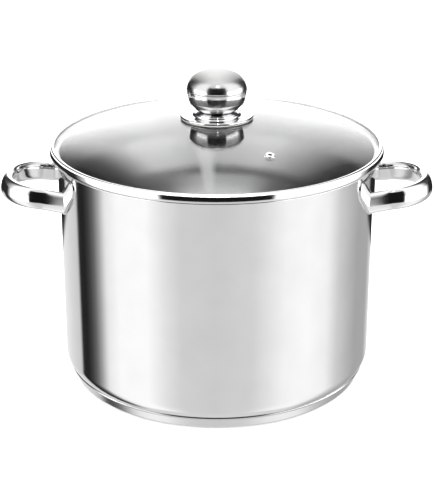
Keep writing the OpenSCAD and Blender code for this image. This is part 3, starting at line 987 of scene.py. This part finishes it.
REAR_LOW = ring_of([(-180, 2.20), (-171, 2.50), (-164, 1.90), (-159, 0.35), (-144, 0.03)], 3.2,
                   [(144, 0.03), (154, 0.12), (163, 1.50), (171, 2.20), (180, 2.20)])
REAR_HIGH = ring_of([(-180, 2.50), (-171, 3.20), (-167, 3.20), (-161, 0.40), (-156, 0.00)], 3.4,
                    [(153, 0.00), (159, 0.20), (165, 1.60), (171, 3.00), (180, 2.50)])
GAP = ring_of([(-180, 0.75), (-172, 1.30), (-167, 1.10), (-158, 0.05)], 3.2,
              [(158, 0.05), (166, 0.60), (172, 0.90), (180, 0.75)], 0.9)
CEILING_EDGE = ring_of([(-180, 2.60), (-172, 1.90), (-167, 0.90), (-158, 0.05)], 3.7,
                       [(158, 0.05), (166, 0.80), (172, 2.40), (180, 2.60)], 0.9)
CEILING = ring_of([(-180, 5.40), (-172, 4.80), (-167, 2.00), (-158, 0.60)], 5.6,
                  [(158, 0.60), (166, 1.60), (172, 5.60), (180, 5.40)], 0.9)
OVERHEAD = [(-180, 1.80), (-150, 1.40), (-100, 1.20), (-44, 1.20), (-30, 0.90), (30, 0.90), (44, 1.20),
            (100, 1.20), (150, 1.40), (180, 1.80)]

# The bands from below upwards: the ring, the height in degrees at which it begins, the half width in
# degrees over which it fades in, and how much higher it begins at the sides than in front and behind
BANDS = [
    (UNDERNEATH, None, 0, 0),
    (PAPER, -62, 6, 0),
    (PAPER_EDGE, -21.87, 0.4, 0.09),
    (HORIZON_LOW, -16, 1, 0),
    (HORIZON, -12, 2, 0),
    (REAR_LOW, 6, 2, 0),
    (REAR_HIGH, 28.5, 3, 0),
    (GAP, 44.8, 2.3, 0),
    (CEILING_EDGE, 48.6, 1.8, 0),
    (CEILING, 55.4, 5, 0),
    (OVERHEAD, 74, 5, 0),
]


def mixed(nodes, links, share, one, two):
    """one where share is 0 and two where it is 1."""
    mix = nodes.new("ShaderNodeMix")
    links.new(share, mix.inputs["Factor"])
    for socket, value in ((mix.inputs["A"], one), (mix.inputs["B"], two)):
        if isinstance(value, (int, float)):
            socket.default_value = value
        else:
            links.new(value, socket)
    return mix.outputs["Result"]


def light_ring(nodes, links, share, around):
    """The light of one band of height, all the way round."""
    ramp = nodes.new("ShaderNodeValToRGB")
    elements = ramp.color_ramp.elements
    while len(elements) < len(around):
        elements.new(0.5)
    for element, (degrees, light) in zip(elements, around):
        element.position = degrees / 360 + 0.5
        element.color = (light, light, light, 1)
    links.new(share, ramp.inputs["Fac"])
    return ramp.outputs["Color"]


def lamp_share(nodes, links, turn, z):
    """1 in the small lamp that hangs above the camera, and 0 round it."""
    left, right, low, high = 3, 10, 50, 66
    share = smooth_step(nodes, links, turn, math.radians(left), math.radians(left + 1))
    for source, edges in ((turn, (math.radians(right), math.radians(right - 1))),
                          (z, (math.sin(math.radians(low)), math.sin(math.radians(low + 2)))),
                          (z, (math.sin(math.radians(high)), math.sin(math.radians(high - 2))))):
        share = calc(nodes, links, "MULTIPLY", share, smooth_step(nodes, links, source, *edges))
    return share


def make_world():
    """A white studio: bright sheets at the sides and behind, dark gaps between them, and a dark room on
    the camera's side. Matt surfaces get even light, and the camera sees a white backdrop."""
    world = bpy.data.worlds.new("studio")
    scene.world = world
    world.use_nodes = True
    nodes, links = world.node_tree.nodes, world.node_tree.links
    background = nodes["Background"]
    direction = nodes.new("ShaderNodeTexCoord").outputs["Generated"]
    parts = nodes.new("ShaderNodeSeparateXYZ")
    links.new(direction, parts.inputs["Vector"])
    x, y, z = (parts.outputs[k] for k in "XYZ")
    turn = calc(nodes, links, "ARCTAN2", x, calc(nodes, links, "MULTIPLY", y, -1.0))
    share = calc(nodes, links, "ADD", calc(nodes, links, "DIVIDE", turn, 2 * math.pi), 0.5)
    light = None
    for around, above, gentle, lean in BANDS:
        ring = light_ring(nodes, links, share, around)
        if light is None:
            light = ring
            continue
        edge = [math.sin(math.radians(above + half)) for half in (-gentle, gentle)]
        height = z
        if lean:
            back = calc(nodes, links, "MULTIPLY", calc(nodes, links, "MULTIPLY", x, x), lean)
            height = calc(nodes, links, "SUBTRACT", z, back)
        light = mixed(nodes, links, smooth_step(nodes, links, height, *edge), light, ring)
    light = mixed(nodes, links, lamp_share(nodes, links, turn, z), light, LAMP_LIGHT)
    rays = nodes.new("ShaderNodeLightPath").outputs
    light = mixed(nodes, links, rays["Is Diffuse Ray"], light, DIFFUSE_LIGHT)
    light = mixed(nodes, links, rays["Is Camera Ray"], light, BACKDROP_LIGHT)
    links.new(light, background.inputs["Color"])
    scene.view_settings.view_transform = "Standard"
    scene.cycles.glossy_bounces = 10
    scene.cycles.transmission_bounces = 14
    scene.cycles.max_bounces = 18


def make_floor():
    """A plain pale floor. It doesn't show in reflections, where the studio's own light does."""
    half_width, gap = 12000, 0.2
    bm = bmesh.new()
    bmesh.ops.create_grid(bm, x_segments=8, y_segments=8, size=half_width)
    bmesh.ops.translate(bm, vec=(0, 0, -gap), verts=bm.verts)
    floor = finish_mesh("floor", bm)
    material, nodes, links, shader = new_material("paper", (0.86, 0.86, 0.86), 0.0, 0.8)
    place = nodes.new("ShaderNodeTexCoord").outputs["Object"]
    tinted(nodes, links, shader, noise(nodes, links, place, 30.0), (0.85, 0.85, 0.85), (0.87, 0.87, 0.87))
    floor.data.materials.append(material)
    floor.visible_glossy = False


# ---------------------------------------------------------------- all of it

make_camera()
pot_body()
base_cap()
for hand in (-1, 1):
    handle_plate(hand)
    side_handle(hand)
lid_glass()
lid_rim()
vent_eyelet()
knob_cap()
knob_cup()
knob_flange()
rack_floor()
rack_dividers()
rack_rings()
for hand in (-1, 1):
    hinge_bar(hand)
    bail(hand)
dress_cad_nodes()
make_world()
make_floor()
